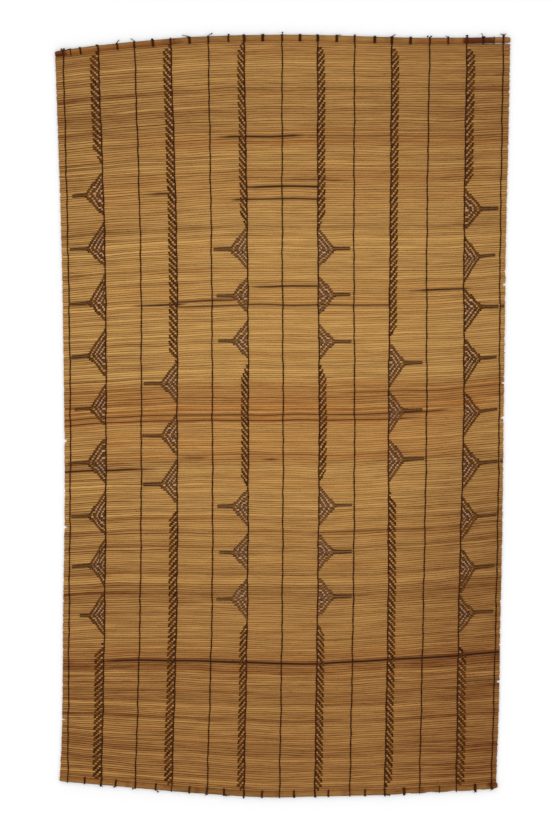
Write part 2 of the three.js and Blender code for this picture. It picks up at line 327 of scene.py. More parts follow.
# %% Mesh helpers
def new_piece(name, points, faces, values, materials, face_materials=None):
    """A mesh object in metres from points in millimetres, with named values on its points."""
    mesh = bpy.data.meshes.new(name)
    mesh.from_pydata((np.asarray(points) * MM).tolist(), [], faces)
    for key, data in values.items():
        data = np.asarray(data, np.float32)
        kind, field = ("FLOAT_VECTOR", "vector") if data.ndim == 2 else ("FLOAT", "value")
        mesh.attributes.new(key, kind, "POINT").data.foreach_set(field, data.ravel())
    for material in materials:
        mesh.materials.append(material)
    if face_materials is not None:
        mesh.polygons.foreach_set("material_index", np.asarray(face_materials, np.int32))
    mesh.shade_smooth()
    piece = bpy.data.objects.new(name, mesh)
    bpy.context.scene.collection.objects.link(piece)
    print(f"{name}: {sum(len(face) - 2 for face in faces)} triangles")
    return piece


def skin(rings, sides):
    """The quads round a body whose points are rings, one ring after another."""
    ring = np.arange(sides)
    strip = np.stack([ring, np.roll(ring, -1), np.roll(ring, -1) + sides, ring + sides], 1)
    return np.concatenate([strip + r * sides for r in range(rings - 1)])


def joined(parts):
    """Several parts as one. A part is (points, faces, thread values, crest highlight values, material number).
    """
    points, faces, thread, crest_highlight, looks = [], [], [], [], []
    base = 0
    for part_points, part_faces, part_thread, part_crest, look in parts:
        points.append(part_points)
        faces.extend((np.asarray(part_faces) + base).tolist())
        thread.append(part_thread)
        crest_highlight.append(part_crest)
        looks.extend([look] * len(part_faces))
        base += len(part_points)
    return np.concatenate(points), faces, np.concatenate(thread), np.concatenate(crest_highlight), looks


# %% [markdown]
# ## One stitch, many times
# A stitch comes up between two stems, goes over one or more of them, and goes down again. A short
# tube with a few rings shows that: low at both ends, arched in the middle, and a little flattened. It
# leans sideways from end to end, because the cord is twined. The side that nobody sees has a simpler
# tube.

# %% The forms of a stitch
# For each ring: its place along the stitch, its height, its share of the full size, and how much of the painted
# highlight it carries.
OVER = {"t": [0, 0.17, 0.5, 0.83, 1], "z": [2.5, 4.15, 4.72, 4.15, 2.5],
        "size": [0.7, 0.95, 1, 0.95, 0.7], "sheen": [0, 0.2, 1, 0.2, 0], "sides": 6}
FLOAT = {"t": [-0.05, 0.12, 0.5, 0.88, 1.05], "z": [2.6, 4.15, 4.72, 4.15, 2.6],
         "size": [0.85, 1, 1, 1, 0.85], "sheen": [0, 0.2, 1, 0.2, 0], "sides": 6}
WRAP = {"t": [0, 0.12, 0.3, 0.38, 0.62, 0.7, 0.88, 1], "z": [2.5, 4.1, 4.55, 4.7, 4.7, 4.55, 4.1, 2.5],
        "size": [0.7, 0.95, 1, 1, 1, 1, 0.95, 0.7], "sheen": [0, 0, 0, 1, 1, 0, 0, 0], "sides": 6, "own": 0.35}
UNDER = {"t": [0, 0.5, 1], "z": [1.5, 0.34, 1.5], "size": [0.8, 1, 0.8], "sheen": [0, 1, 0], "sides": 4}
UNDER_THICKNESS = 0.5


# %% Stitches
def stitch_faces(rings, sides, count):
    """The faces of count stitches whose points follow one another."""
    caps = np.array([[0, 3, 2, 1]] if sides == 4 else [[0, 3, 2, 1], [0, 5, 4, 3]])
    ends = (rings - 1) * sides + caps[:, ::-1]
    pattern = np.concatenate([skin(rings, sides)[:, ::-1], caps[:, ::-1], ends[:, ::-1]])
    return (pattern[None] + (np.arange(count) * rings * sides)[:, None, None]).reshape(-1, 4)


def stitches(start, end, width, thickness, lean, form, crest_highlight, look):
    """A stitch from each start to each end, as one part for joined(). Width and lean may be lists."""
    start, end = np.asarray(start, float), np.asarray(end, float)
    count, rings, sides = len(start), len(form["t"]), form["sides"]
    t, size = np.array(form["t"]), np.array(form["size"])
    run = end - start
    length = np.linalg.norm(run, axis=1)
    across = np.stack([run[:, 1], -run[:, 0]], 1) / length[:, None]
    lean = (np.asarray(lean) * np.ones(count))[:, None, None]
    middle = start[:, None] + run[:, None] * t[None, :, None]
    middle = middle + across[:, None] * lean * (t - 0.5)[None, :, None]
    angle = 2 * math.pi * (np.arange(sides) + 0.5) / sides
    width = np.broadcast_to(np.asarray(width, float), (count,))
    wide = width[:, None, None] / 2 * size[None, :, None] * np.cos(angle)[None, None, :]
    high = thickness / 2 * size[:, None] * np.sin(angle)[None, :] + np.array(form["z"])[:, None]
    points = np.empty((count, rings, sides, 3))
    points[..., :2] = middle[:, :, None] + across[:, None, None] * wide[..., None]
    points[..., 2] = high[None]
    thread = np.empty((count, rings, sides, 3))
    thread[..., 0] = (t[None, :] * length[:, None])[..., None]
    thread[..., 1] = (angle / (2 * math.pi))[None, None]
    thread[..., 2] = (chance.uniform(0, 1, count) * form.get("own", 1))[:, None, None]
    lift = crest_highlight * np.array(form["sheen"])[None, :, None] * np.ones((count, 1, sides))
    return points.reshape(-1, 3), stitch_faces(rings, sides, count), thread.reshape(-1, 3), lift.ravel(), look


# %% [markdown]
# ## The finishes
# Dried stems are never one colour. Each has its own tone, long streaks along its fibres and short dark flecks,
# some are rusty, and dark lines run between some of them. A material is built from small node groups that can
# be reused: one draws the grain, one tints for rust and lays on dark lines and painted shade, and one draws the
# fibres of a twisted thread.

# %% Colours and nodes
def tone(red, green, blue):
    """A colour as on a screen, 0 to 255, as the linear colour that a shader needs."""
    linear = [((c / 255 + 0.055) / 1.055) ** 2.4 if c > 10 else c / 255 / 12.92 for c in (red, green, blue)]
    return (*linear, 1)


def feed(tree, socket, value):
    """Links a socket to another one, or sets it to a plain value."""
    if isinstance(value, bpy.types.NodeSocket):
        tree.links.new(value, socket)
    else:
        socket.default_value = value


def node(tree, kind, settings=None, **wires):
    """A node with its inputs linked or set. A wire is called as its input, with _ for a space, or by i
    and the input's number."""
    made = tree.nodes.new(kind)
    for key, value in (settings or {}).items():
        setattr(made, key, value)
    for key, value in wires.items():
        numbered = key[0] == "i" and key[1:].isdigit()
        feed(tree, made.inputs[int(key[1:]) if numbered else key.replace("_", " ")], value)
    return made


def maths(tree, operation, a, b, clamp=False):
    """One step of arithmetic on two values."""
    return node(tree, "ShaderNodeMath", {"operation": operation, "use_clamp": clamp}, i0=a, i1=b).outputs[0]


def blend_colours(tree, share, a, b, kind="MIX"):
    """Colour a turned towards colour b by a share."""
    settings = {"data_type": "RGBA", "blend_type": kind, "clamp_factor": True}
    return node(tree, "ShaderNodeMix", settings, i0=share, i6=a, i7=b).outputs[2]


# %% [markdown]
# ## Effects that more than one finish uses
# Grain, rust with darkening, and fibres are drawn by node groups: small trees with named inputs and outputs
# that any material can hold. The same nodes could be copied into each material, but then every change has to be
# made again in each. A group puts out only colours and values, and the material decides what they feed.

# %% Node groups
def new_group(name, inputs, outputs):
    """An empty node group with named sockets. An input is (name, kind, starting value)."""
    group = bpy.data.node_groups.new(name, "ShaderNodeTree")
    for label, kind, value in inputs:
        socket = group.interface.new_socket(label, in_out="INPUT", socket_type=kind)
        if value is not None:
            socket.default_value = value
    for label, kind in outputs:
        group.interface.new_socket(label, in_out="OUTPUT", socket_type=kind)
    return group, group.nodes.new("NodeGroupInput").outputs, group.nodes.new("NodeGroupOutput").inputs


def noise(tree, place, stretch, detail, roughness):
    """Noise that is read at a place, squeezed by a number of its own along each axis."""
    scaled = node(tree, "ShaderNodeVectorMath", {"operation": "MULTIPLY"}, i0=place, i1=stretch).outputs[0]
    made = node(tree, "ShaderNodeTexNoise", Vector=scaled, Scale=1.0, Detail=detail, Roughness=roughness)
    return made.outputs[0]


# %% [markdown]
# ## The grain of a stalk
# Fibres run along a stalk, so its streaks are long and thin. Noise gives them if the place that it
# reads changes slowly along the stem and fast across it. One noise draws the long streaks, a finer
# one breaks them up, and only the peaks of a third become dark flecks.

# %% The grain of a stalk
LONG_STREAKS, SHORT_STREAKS, SPOTS = (1.0, 1.0, 1.0), (3.6, 3.1, 1.0), (6.0, 1.6, 1.0)
LONG_SHARE = 0.75
SPOT_PEAK = (0.62, 0.78)
grain_group, given, out = new_group(
    "stalk_grain",
    [("Place", "NodeSocketVector", None), ("Fleck Amount", "NodeSocketFloat", 0.5)],
    [("Streak", "NodeSocketFloat"), ("Fleck", "NodeSocketFloat")],
)
long_streaks = noise(grain_group, given["Place"], LONG_STREAKS, 2.0, 0.5)
short_streaks = noise(grain_group, given["Place"], SHORT_STREAKS, 2.0, 0.5)
streak = maths(grain_group, "ADD", maths(grain_group, "MULTIPLY", short_streaks, 1 - LONG_SHARE),
               maths(grain_group, "MULTIPLY", long_streaks, LONG_SHARE))
fleck = node(grain_group, "ShaderNodeMapRange", Value=noise(grain_group, given["Place"], SPOTS, 1.0, 0.4),
             From_Min=SPOT_PEAK[0], From_Max=SPOT_PEAK[1]).outputs[0]
feed(grain_group, out["Streak"], streak)
feed(grain_group, out["Fleck"], maths(grain_group, "MULTIPLY", fleck, given["Fleck Amount"]))
print(grain_group.name, "has", len(grain_group.nodes), "nodes")

# %% [markdown]
# ## Rust and darkening on a stalk
# Old stems turn rusty in stretches, and dark lines run between some of them. On a cane the same darkening is
# painted shade along its outer edge. Both could be painted by hand, but here the mesh says how much of each
# lies at a point. Rust is multiplied in, so that the grain still shows through it, and the darkening covers
# what is below.

# %% Rust and darkening on a stalk
rust_and_darkening_group, given, out = new_group(
    "stalk_rust_and_darkening",
    [("Fresh", "NodeSocketColor", (1, 1, 1, 1)), ("Rust", "NodeSocketFloat", 0.0),
     ("Stain", "NodeSocketFloat", 0.0), ("Rust Colour", "NodeSocketColor", (1, 1, 1, 1)),
     ("Stain Colour", "NodeSocketColor", (1, 1, 1, 1))],
    [("Colour", "NodeSocketColor")],
)
rusty = blend_colours(rust_and_darkening_group, given["Rust"], given["Fresh"], given["Rust Colour"], "MULTIPLY")
feed(rust_and_darkening_group, out["Colour"], blend_colours(rust_and_darkening_group, given["Stain"], rusty, given["Stain Colour"]))
print(rust_and_darkening_group.name, "has", len(rust_and_darkening_group.nodes), "nodes")

# %% [markdown]
# ## The fibres of a thread
# The cords are twisted plant fibre. A sine that winds along and round each stitch gives the ridges of
# the twist, and stretched noise gives the loose fibres. Each stitch has a number of its own, so that
# neighbours differ in colour.

# %% The fibres of a thread
TURNS_ROUND, RIDGE_HEIGHT = 3.0, 0.3
HAIRS = (0.6, 9.0, 37.0)
thread_group, given, out = new_group(
    "thread_fibres",
    [("Place", "NodeSocketVector", None), ("Turns", "NodeSocketFloat", 1.0)],
    [("Fibre", "NodeSocketFloat"), ("Own", "NodeSocketFloat"), ("Height", "NodeSocketFloat")],
)
along, around, own = node(thread_group, "ShaderNodeSeparateXYZ", Vector=given["Place"]).outputs
wound = maths(thread_group, "MULTIPLY", along, given["Turns"])
wound = maths(thread_group, "ADD", wound, maths(thread_group, "MULTIPLY", around, TURNS_ROUND))
ridge = maths(thread_group, "SINE", maths(thread_group, "MULTIPLY", wound, 2 * math.pi), 0.0)
hairs = noise(thread_group, given["Place"], HAIRS, 3.0, 0.6)
height = maths(thread_group, "ADD", maths(thread_group, "MULTIPLY", ridge, RIDGE_HEIGHT), hairs)
for label, value in (("Fibre", hairs), ("Own", own), ("Height", height)):
    feed(thread_group, out[label], value)
print(thread_group.name, "has", len(thread_group.nodes), "nodes")


# %% [markdown]
# ## Two kinds of material
# The mat needs only two kinds, stalk and thread, so two functions make all four finishes. The shader
# stays in the material and is fed from the groups. Dried stems and old cord are dull, so there is
# little shine.

# %% Material helpers
def new_material(name, roughness):
    """A material with a Principled shader, and its tree."""
    material = bpy.data.materials.new(name)
    material.use_nodes = True
    tree = material.node_tree
    shader = tree.nodes["Principled BSDF"]
    shader.inputs["Roughness"].default_value = roughness
    return material, tree, shader


def attribute(tree, name, vector=False):
    """A value that rides on the mesh."""
    made = node(tree, "ShaderNodeAttribute", {"attribute_name": name})
    return made.outputs["Vector" if vector else "Fac"]


def use_group(tree, group, **wires):
    """The outputs of a node group placed in a material, with its inputs linked or set."""
    return node(tree, "ShaderNodeGroup", {"node_tree": group}, **wires).outputs


def feed_shader(tree, shader, colour, roughness, relief):
    """Links what changes over the surface to the shader."""
    for label, value in (("Base Color", colour), ("Roughness", roughness), ("Normal", relief)):
        feed(tree, shader.inputs[label], value)


# %% [markdown]
# ## The finish of a stalk
# A stalk's colour runs from dark to pale by one number: the tone that the mesh carries, which holds painted
# shade in the creases, below the stems and towards a cane's outer edge, plus the streaks, less the flecks. Rust
# and the darkening lie over that: dark lines between stems, and painted shade along a cane's outer rim. The
# same streaks make the surface rougher and raise it a little, so that colour and relief agree.

# %% Stalks
STALK_SHINE, STALK_ROUGH, STALK_RELIEF = 0.1, (0.46, 0.68), 0.0006
UNFADED_SHARE = 0.45
BAND_RIM = (-0.4, 0.6)  # from here to there, in millimetres inside a band, the stem keeps its first colour


def stalk_material(name, pale, dark, rust, stain, streakiness, fleck_amount, bump, unfaded=None):
    """Dried stalk: pale to dark along its fibres, with flecks, rusty stretches, dark lines, painted shade and
    unfaded places.
    """
    material, tree, shader = new_material(name, 0.55)
    shader.inputs["Specular IOR Level"].default_value = STALK_SHINE
    grain = use_group(tree, grain_group, Place=attribute(tree, "grain", vector=True),
                      Fleck_Amount=fleck_amount)
    centred = maths(tree, "MULTIPLY", maths(tree, "SUBTRACT", grain["Streak"], 0.5), streakiness)
    share = maths(tree, "ADD", attribute(tree, "tone"), centred)
    share = maths(tree, "SUBTRACT", share, grain["Fleck"], clamp=True)
    fresh = blend_colours(tree, share, tone(*dark), tone(*pale))
    colour = use_group(tree, rust_and_darkening_group, Fresh=fresh, Rust=attribute(tree, "rust"),
                       Stain=attribute(tree, "stain"), Rust_Colour=tone(*rust),
                       Stain_Colour=tone(*stain))["Colour"]
    if unfaded:
        inside = node(tree, "ShaderNodeMapRange", Value=attribute(tree, "covered"), From_Min=BAND_RIM[0],
                      From_Max=BAND_RIM[1], To_Max=UNFADED_SHARE).outputs[0]
        colour = blend_colours(tree, inside, colour, tone(*unfaded))
    rough = node(tree, "ShaderNodeMapRange", Value=grain["Streak"],
                 To_Min=STALK_ROUGH[0], To_Max=STALK_ROUGH[1])
    relief = node(tree, "ShaderNodeBump", Height=grain["Streak"], Strength=bump, Distance=STALK_RELIEF)
    feed_shader(tree, shader, colour, rough.outputs[0], relief.outputs[0])
    return material


# %% [markdown]
# ## The finish of a thread
# Thread is darker and duller than stalk. Its colour runs from dark to pale by the stitch's own number and its
# fibres. Where a stitch stands highest it is painted paler as a highlight, and the mesh says where that is.

# %% Threads
THREAD_SHINE, THREAD_BUMP, THREAD_RELIEF = 0.03, 0.5, 0.0003


def thread_material(name, dark, pale, crest_highlight, roughness, turns):
    """Dark plant fibre: each stitch has its own depth of colour, and its crest is painted paler as a highlight.
    """
    material, tree, shader = new_material(name, roughness)
    shader.inputs["Specular IOR Level"].default_value = THREAD_SHINE
    fibre = use_group(tree, thread_group, Place=attribute(tree, "thread", vector=True), Turns=turns)
    own, loose = maths(tree, "MULTIPLY", fibre["Own"], 0.6), maths(tree, "MULTIPLY", fibre["Fibre"], 0.4)
    body = blend_colours(tree, maths(tree, "ADD", own, loose), tone(*dark), tone(*pale))
    # Painted highlight: the crest of a stitch is turned towards the paler crest colour.
    wear_and_highlight = blend_colours(tree, attribute(tree, "crest_highlight"), body, tone(*crest_highlight))
    rough = node(tree, "ShaderNodeMapRange", Value=fibre["Fibre"],
                 To_Min=roughness - 0.1, To_Max=roughness + 0.12)
    relief = node(tree, "ShaderNodeBump", Height=fibre["Height"], Strength=THREAD_BUMP,
                  Distance=THREAD_RELIEF)
    feed_shader(tree, shader, wear_and_highlight, rough.outputs[0], relief.outputs[0])
    return material


# %% [markdown]
# ## The four finishes
# The stems are the colour of straw, the canes are browner with stronger streaks, the cords are nearly black,
# and the strands of the bands are a warmer brown whose crests carry a painted highlight.

# %% The four finishes
stem_finish = stalk_material("dried stems", pale=(228, 179, 103), dark=(100, 48, 10), rust=(232, 188, 154),
                             stain=(62, 26, 8), streakiness=0.72, fleck_amount=0.12, bump=0.35,
                             unfaded=(204, 167, 142))
# On the canes the darkening colour is painted shade along their outer edges.
cane_finish = stalk_material("split cane", pale=(204, 156, 84), dark=(92, 48, 16), rust=(232, 176, 132),
                             stain=(34, 17, 6), streakiness=1.7, fleck_amount=0.25, bump=0.4)
# Each thread's crest colour is a painted highlight.
cord_finish = thread_material("dark cord", dark=(40, 17, 4), pale=(84, 44, 18), crest_highlight=(104, 66, 34),
                              roughness=0.75, turns=0.45)
strand_finish = thread_material("patterned strands", dark=(30, 12, 0), pale=(112, 63, 18),
                                crest_highlight=(150, 112, 78), roughness=0.6, turns=0.2)
print("finishes:", [finish.name for finish in (stem_finish, cane_finish, cord_finish, strand_finish)])

# %% [markdown]
# ## The stems
# Each stem is its own closed body between two of the lines worked out above, pressed against the
# next. It needs points only where something changes: at its ends, at each cord, inside the bands and
# between them. All the stems share one mesh, because together they are the sheet that the cords hold.

# %% Where each stem is cut and measured
END_STEP, OVERHANG, RAGGED = 1.4, 0.6, 0.7
NICKS = {"left": [-57.6, -268.8, -724.8], "right": [312, 76.8, -2.4, -636]}
NICK_DEPTH = 6
stem_middle = (bounds_at_middle[:-1] + bounds_at_middle[1:]) / 2
stem_index = np.arange(stem_count)


def end_of(edge, side):
    """Where the stems end on one side: the mat's edge, a little ragged, with a few short stems."""
    x = edge(stem_middle)
    for _ in range(SETTLE_ROUNDS):
        x = edge(row_height(stem_middle, x))
    inward = -side * np.abs(chance.normal(0, RAGGED, stem_count)) + side * OVERHANG
    places = row_height(stem_middle, x)
    for nick in NICKS["left" if side < 0 else "right"]:
        inward[np.argmin(np.abs(places - nick))] = -side * NICK_DEPTH
    return x + inward


left_ends, right_ends = end_of(left_edge, -1), end_of(right_edge, 1)
cord_places = [line(row_height(stem_middle, line(stem_middle))) for line in lines_in_order]
cord_places = np.stack(cord_places, 1)
BAND_STEPS, OPEN_SHARES = [5, 24, 41], [1 / 3, 2 / 3]
columns = {"end": [left_ends, left_ends + END_STEP, right_ends - END_STEP, right_ends],
           "cord": list(cord_places.T), "band": [], "open": []}
for i, band in enumerate(BANDS):
    at_cord, beyond = cord_places[:, 2 * i + 1], cord_places[:, 2 * i + 1 - band["side"]]
    columns["band"] += [at_cord + band["side"] * step for step in BAND_STEPS]
    columns["open"] += [at_cord + (beyond - at_cord) * share for share in OPEN_SHARES]
unsorted = np.stack([column for group in columns.values() for column in group], 1)
into_order = np.argsort(unsorted, axis=1)
stations = np.take_along_axis(unsorted, into_order, 1)
print("stations on a stem:", stations.shape[1])

# %% [markdown]
# ## The body of a stem
# Each stem could be a cylinder of its own, placed and bent, but 340 objects are slow. A section of
# six points, set at every station of every stem at once, is far quicker: one point below, one on each
# side and three over the dome. The ends are a little smaller, and no dome is quite as high as the
# next.

# %% Model the stems
STEM_PRESS = 0.03  # how far a stem is pressed into its neighbours
SECTION = np.array([[1, 2.8], [0.62, 3.75], [0, 4.0], [-0.62, 3.75], [-1, 2.8], [0, 0.6]])
STEM_WAIST, END_SIZE, FLATTEST_DOME = 2.2, 0.8, 0.86
above = between_stems(stem_index[:, None], stations)
below = between_stems(stem_index[:, None] + 1, stations)
half = (above - below) / 2 + STEM_PRESS
middle = (above + below) / 2
rounding = np.ones(stations.shape[1])
rounding[[0, -1]] = END_SIZE
dome = chance.uniform(FLATTEST_DOME, 1.0, stem_count)
stem_points = np.empty((*stations.shape, len(SECTION), 3))
stem_points[..., 0] = stations[..., None]
stem_points[..., 1] = middle[..., None] + (half * rounding)[..., None] * SECTION[:, 0]
lift = (SECTION[:, 1] - STEM_WAIST) * np.where(SECTION[:, 1] > STEM_WAIST, dome[:, None, None], 1.0)
stem_points[..., 2] = STEM_WAIST + lift * rounding[:, None]

corners = len(SECTION)
per_stem = stations.shape[1] * corners
first_point = stem_index * per_stem
stem_faces = skin(stations.shape[1], corners)[:, ::-1]
all_faces = (stem_faces[None] + first_point[:, None, None]).reshape(-1, 4).tolist()
start_cap = np.arange(corners)
for cap in (start_cap, per_stem - corners + start_cap[::-1]):
    all_faces += (cap[None] + first_point[:, None]).tolist()
print("points on a stem:", per_stem)

# %% [markdown]
# ## Tone, rust and dark lines
# The mat is paler in its middle and upper part and browner towards the foot and the sides. On top of
# that each stem has a tone of its own that changes slowly along it. A few stems are rusty, and here
# and there a dark line shows where two stems meet: those are named one by one, by where they run and
# how strong they are.

# %% Give each stem its tone
TONE_SPREAD, GROUP = 0.05, 9
MAT_TONE, MIDDLE, FALL, RIGHT, LEFT, SLOW = 0.455, 0.15, 0.115, 0.09, 0.035, 0.045
slow_length, slow_phase = draw_waves(stem_count, 90, 700)
slow = waves(stations, slow_length[:, None], slow_phase[:, None]).sum(-1) / WAVES
own_tone = chance.normal(0, TONE_SPREAD, stem_count)
group_draws = chance.normal(0, TONE_SPREAD, stem_count + GROUP - 1)
group_tone = np.convolve(group_draws, np.ones(GROUP) / GROUP, "valid")
level = stem_middle[:, None]
across_mat = np.clip(1 - (stations / 560) ** 2, 0, 1)
foot, fall = ramp(level, -400, -750), ramp(level, -110, -380)
head = 0.07 * ramp(level, 400, 600) + 0.08 * ramp(level, 600, 750)
right_side = ramp(stations, 250, 400) * ramp(level, 100, -250)
left_side = ramp(stations, -60, -460)
base_tone = (MAT_TONE + (MIDDLE - 0.05 * fall - 0.04 * foot) * across_mat
             - FALL * fall - head - RIGHT * right_side)
contrast_here = 1 + 0.9 * left_side  # the stems differ more towards the left side
stem_tone = (base_tone + LEFT * left_side + own_tone[:, None] * contrast_here
             + group_tone[:, None] + SLOW * slow)
tone_values = np.repeat(stem_tone[..., None], len(SECTION), 2)
print("tone from %.2f to %.2f" % (stem_tone.min(), stem_tone.max()))

# %% [markdown]
# ## Painted shade in the creases between the stems
# Where two stems meet, shade falls into the crease, and it is painted into their colour as a dark line. It is
# deep between some stems and hardly there between others, and it comes and goes along them. So each line has a
# depth of its own and slow waves, and darkens the side points of the two stems that share it with painted
# shade. The point below each stem is painted darker too, as the shade under it.

# %% Painted shade in the creases
CREASE_SHADE_BASE, CREASE_SHADE, UNDERSIDE_SHADE = 0.08, 0.4, 0.1
UPPER_SIDE, LOWER_SIDE, UNDERSIDE = 0, 4, 5  # points of the section
crease_length, crease_phase = draw_waves(stem_count + 1, 90, 600)
crease_shade_depth = chance.uniform(0, 1, stem_count + 1) ** 1.6


def crease_shade(i, x):
    """How much painted shade lies in the crease between stem i - 1 and stem i at x, about 0 to 1."""
    i, x = np.broadcast_arrays(i, np.asarray(x, float))
    wave = waves(x, crease_length[i], crease_phase[i]).sum(-1) / WAVES
    return np.clip(crease_shade_depth[i] + 0.8 * wave, 0, 1.2)


# Painted shade: each stem's side points are darkened where it meets its neighbours.
for point, line_below in ((UPPER_SIDE, 0), (LOWER_SIDE, 1)):
    depth = CREASE_SHADE_BASE + CREASE_SHADE * crease_shade(stem_index[:, None] + line_below, stations)
    tone_values[..., point] -= depth * contrast_here
# Painted shade: the point below each stem is darkened, as the shade under it.
tone_values[..., UNDERSIDE] -= UNDERSIDE_SHADE
print("deep creases:", int((crease_shade_depth > 0.7).sum()), "of", stem_count + 1)

# %% [markdown]
# ## Where rust and dark lines lie
# Rust shows in wide soft zones, named by their edges. The dark lines run between two stems, and are
# named by their height and their two ends. A few single stems are rusty for a part of their length:
# those fall where chance puts them.

# %% Rusty zones and dark lines
ZONES = [  # [top, bottom, left, right, strength]
    [686, 650, -330, 540, 0.45], [585, 515, -420, 420, 0.28], [318, 262, -360, 440, 0.2],
    [77, 31, -540, 540, 0.6], [22, -22, -540, 460, 0.85], [-40, -106, -420, 400, 0.45],
    [-255, -290, -300, 420, 0.15], [-560, -612, -500, 530, 0.3], [900, 860, -540, 540, 0.2],
]
LINES = [  # [height at the middle of the line, left, right, strength, rust]
    [669.6, -140, 42, 0.95, 0.5], [672, 42, 534, 0.45, 0.5], [568.8, 25, 150, 0.6, 0.3],
    [552, -83, 85, 0.95, 0.3], [523, -114, 85, 0.9, 0.3], [588, -400, 500, 0.25, 0.4],
    [532.8, -323, -270, 0.8, 0.2], [309.6, -54, 85, 0.9, 0.3], [279.4, -251, -116, 0.8, 0.4],
    [262.8, -335, -251, 0.95, 0.3], [267.6, -251, 258, 0.8, 0.4], [302.4, 330, 433, 0.95, 0.3],
    [61, 172, 532, 0.5, 0.9], [47, -380, 300, 0.3, 0.8], [3, -530, 380, 0.75, 1.0],
    [-9, -530, 330, 0.8, 1.0], [-129, -520, -342, 0.95, 0.6], [-103, -222, -198, 0.8, 0.3],
    [-101, -35, -16, 0.8, 0.3], [-92, -250, 330, 0.3, 0.8], [-272, 90, 342, 0.45, 0.5],
    [-592.3, -419, 522, 1.0, 0.4], [-602, -409, -359, 0.5, 0.6], [-765.6, -366, -289, 0.55, 0.3],
    [-633.6, 443, 522, 0.5, 0.4],
]
print("rusty zones:", len(ZONES), "dark lines:", len(LINES))

# %% [markdown]
# ## Laying them on the stems
# A zone takes in many stems, each with a strength of its own, so that it looks streaky and not like a
# painted stripe. A dark line takes in only the near sides of the two stems that it runs between.

# %% Put them on the stems
LINE_FADE, ZONE_FADE, ZONE_END_FADE = 15, 8, 90
ZONE_TONE, LINE_RUST, MOST_RUST = 0.07, 0.6, 0.85
RUSTY_STEMS = 0.14
rust_values = np.zeros_like(tone_values) + (0.05 + 0.1 * fall + 0.1 * foot)[..., None]
dark_line_values = np.zeros_like(tone_values)


def within(value, low, high, fade):
    """1 between low and high, fading to 0 over a distance outside them."""
    return np.clip(np.minimum((value - low) / fade, (high - value) / fade) + 1, 0, 1)


streaky = 0.35 + 0.65 * np.clip(0.5 + slow, 0, 1)
for high, low, left, right, strength in ZONES:
    share = within(stem_middle, low, high, ZONE_FADE)[:, None] * within(stations, left, right, ZONE_END_FADE)
    uneven = chance.uniform(0.45, 1.0, stem_count)[:, None]
    rust_values += (strength * share * uneven * streaky)[..., None]
    tone_values -= (ZONE_TONE * strength * share * uneven)[..., None]
lone = chance.uniform(0, 1, stem_count) < RUSTY_STEMS
centre, reach = chance.uniform(-450, 450, stem_count), chance.uniform(60, 320, stem_count)
lone_share = lone[:, None] * np.clip(1.3 - np.abs(stations - centre[:, None]) / reach[:, None], 0, 1)
rust_values += (chance.uniform(0.1, 0.42, stem_count)[:, None] * lone_share)[..., None]
for height, left, right, strength, rust in LINES:
    centre_x = (left + right) / 2
    i = int(np.argmin(np.abs(between_stems(every_bound[1:-1], centre_x) - height))) + 1
    for stem, places in ((i - 1, (4, 3, 2)), (i, (0, 1, 2))):  # from the line up to each stem's crest
        share = within(stations[stem], left, right, LINE_FADE)
        for place, part in zip(places, (1.0, 1.0, 0.65 * strength)):
            dark_line_values[stem, :, place] = np.maximum(dark_line_values[stem, :, place], strength * part * share)
        rust_values[stem] = np.maximum(rust_values[stem], (rust * LINE_RUST * share)[:, None])
rust_values = np.clip(rust_values, 0, MOST_RUST)
print("rust at most %.2f" % rust_values.max())

# %% [markdown]
# ## Paler stems inside the bands
# Light and use have darkened the open stems, but between the strands of a band they keep their first
# pale colour. Each point of a stem therefore carries how many millimetres inside a band it lies, and
# the material turns paler from the rim on.

# %% How far inside a band
TAPER_SLOPE, STRIP_LEAD = 1.7, 3
OUTSIDE, BESIDE_CORD = -30.0, -1


def band_reach(band, heights):
    """How far a band reaches from its cord at each height."""
    reach = np.zeros_like(heights)
    for top, bottom in band["strips"]:
        strip = np.minimum(top - heights, heights - bottom) / TAPER_SLOPE + STRIP_LEAD
        reach = np.maximum(reach, np.minimum(strip, band["twill"]))
    for height, tip, _, up, down in band["motifs"]:
        away = np.where(heights > height, (heights - height) / up, (height - heights) / down)
        reach = np.maximum(reach, tip * (1 - away))
    return reach


covered = np.full_like(unsorted, OUTSIDE)
first_cord, first_band = len(columns["end"]), len(columns["end"]) + len(columns["cord"])
for i, band in enumerate(BANDS):
    at_cord = first_cord + 2 * i + 1
    reach = band_reach(band, row_height(stem_middle, unsorted[:, at_cord]))
    covered[:, at_cord] = BESIDE_CORD
    for k, step in enumerate(BAND_STEPS):
        covered[:, first_band + len(BAND_STEPS) * i + k] = reach - step
covered = np.minimum(covered, 0.6 - 0.3 * foot)  # less pale at the foot
covered = np.repeat(np.take_along_axis(covered, into_order, 1)[..., None], len(SECTION), 2)
print("stations inside a band: %d%%" % (100 * (covered > 0).mean()))

# %% [markdown]
# ## The finished field of stems
# The one mesh with all its values stands for the imported field, which is hidden.

# %% Assemble the stems
STREAK_LENGTH, STREAK_WIDTH, STEM_APART = 75, 0.55, 7.3
grain_values = np.empty_like(stem_points)
grain_values[..., 0] = stem_points[..., 0] / STREAK_LENGTH + chance.uniform(0, 90, stem_count)[:, None, None]
grain_values[..., 1] = stem_index[:, None, None] * STEM_APART + SECTION[:, 0] * STREAK_WIDTH
grain_values[..., 2] = chance.uniform(0, 40, stem_count)[:, None, None]
stems = new_piece("stems", stem_points.reshape(-1, 3), all_faces, {
    "tone": tone_values.ravel(), "rust": rust_values.ravel(), "stain": dark_line_values.ravel(),
    "covered": covered.ravel(), "grain": grain_values.reshape(-1, 3)}, [stem_finish])
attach(stems, "root")
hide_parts("reed_field")

# %% [markdown]
# ## Threads along a path
# The turns, knots and tails that tie the canes on are all one thing: a round thread along a path. A
# curve with a round bevel would give it too, but a tube made from points joins the stitches in one
# mesh and carries the same values for its fibres.

